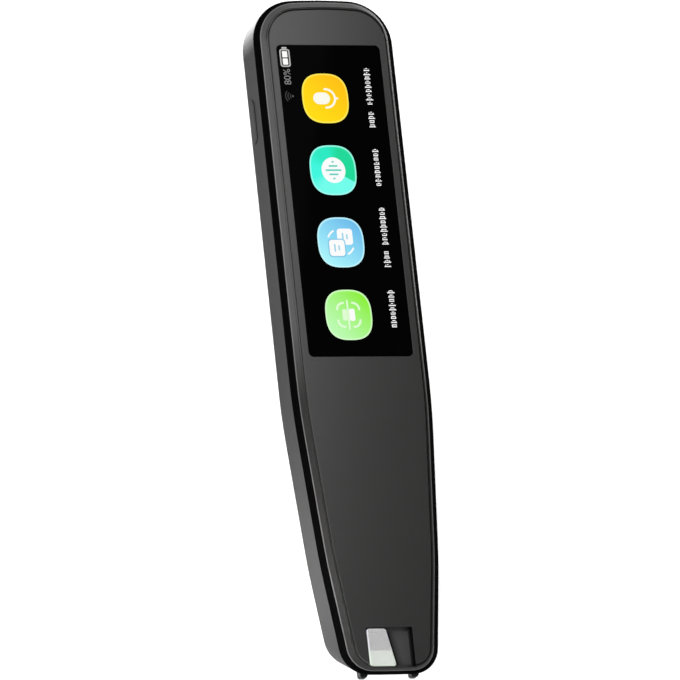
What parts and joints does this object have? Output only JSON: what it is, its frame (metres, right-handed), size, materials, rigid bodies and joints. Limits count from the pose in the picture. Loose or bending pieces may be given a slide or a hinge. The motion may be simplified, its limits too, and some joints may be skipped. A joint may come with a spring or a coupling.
{
  "type": "handheld translator",
  "caption": "Scanning translator pen with a bar touch screen, a scan window at its tapered tip, a press trigger and a side power button.",
  "frame": {"origin": "centre of the footprint, on the plane that the flat back rests on", "axes": "+Z out of the screen, +Y towards the charging socket, -Y towards the scanning tip, +X to the right of the screen, with the power button on the -X side"},
  "size_m": [0.0328, 0.1552, 0.012],
  "materials": {
    "shell_plastic": "fine matte mould texture",
    "band_plastic": "piano gloss",
    "bezel_plastic": "satin",
    "panel_plastic": "satin",
    "screen_glass": "polished black glass",
    "display_layers": "dark gloss",
    "sheet_steel": "rolled",
    "clear_plastic": "polished clear",
    "frosted_plastic": "frosted",
    "white_plastic": "matte white",
    "black_plastic": "matte black",
    "trigger_plastic": "satin",
    "button_plastic": "satin",
    "circuit_board": "solder mask",
    "flex_film": "polyimide film",
    "chip_resin": "matte resin",
    "light_resin": "gloss resin",
    "lens_glass": "coated glass",
    "battery_film": "laminated film",
    "foam_tape": "foam",
    "lead_rubber": "satin sheath",
    "connector_plastic": "gloss",
    "screw_steel": "black zinc",
    "mesh_cloth": "fine acoustic mesh"
  },
  "bodies": {
    "housing": {"back_shell": "shell_plastic", "middle_frame": "band_plastic", "front_bezel": "bezel_plastic", "front_panel": "panel_plastic", "touch_glass": "screen_glass", "display_panel": "display_layers", "display_tray": "sheet_steel", "display_flex": "flex_film", "scan_window": "clear_plastic", "window_diffuser": "frosted_plastic", "window_reflector": "white_plastic", "scan_cover": "clear_plastic", "camera_housing": "black_plastic", "lens_barrel": "black_plastic", "camera_lens": "lens_glass", "camera_board": "circuit_board", "image_sensor": "chip_resin", "camera_flex": "flex_film", "tip_board": "circuit_board", "scan_lights": "light_resin", "window_light": "light_resin", "tip_flex": "flex_film", "trigger_switch": "black_plastic", "power_switch": "black_plastic", "key_flex": "flex_film", "socket_shell": "sheet_steel", "socket_tongue": "connector_plastic", "main_board": "circuit_board", "processor": "chip_resin", "processor_shield": "sheet_steel", "memory_chip": "chip_resin", "microphones": "sheet_steel", "wireless_antenna": "flex_film", "battery_tape": "foam_tape", "battery": "battery_film", "battery_plug": "connector_plastic", "battery_leads": "lead_rubber", "speaker_mesh": "mesh_cloth", "speaker_gasket": "foam_tape", "speaker": "black_plastic", "case_screws": "screw_steel"},
    "power_button": {"power_button": "button_plastic", "power_plunger": "white_plastic"},
    "scan_trigger": {"scan_trigger": "trigger_plastic", "trigger_plunger": "white_plastic"}
  },
  "joints": [
    {"name": "power_press", "type": "slide", "parent": "housing", "child": "power_button", "axis": [1, 0, 0], "range_m": [0, 0.00035], "stiffness_N_per_m": 800},
    {"name": "trigger_press", "type": "slide", "parent": "housing", "child": "scan_trigger", "axis": [0, 1, 0], "range_m": [0, 0.0007], "stiffness_N_per_m": 500}
  ]
}
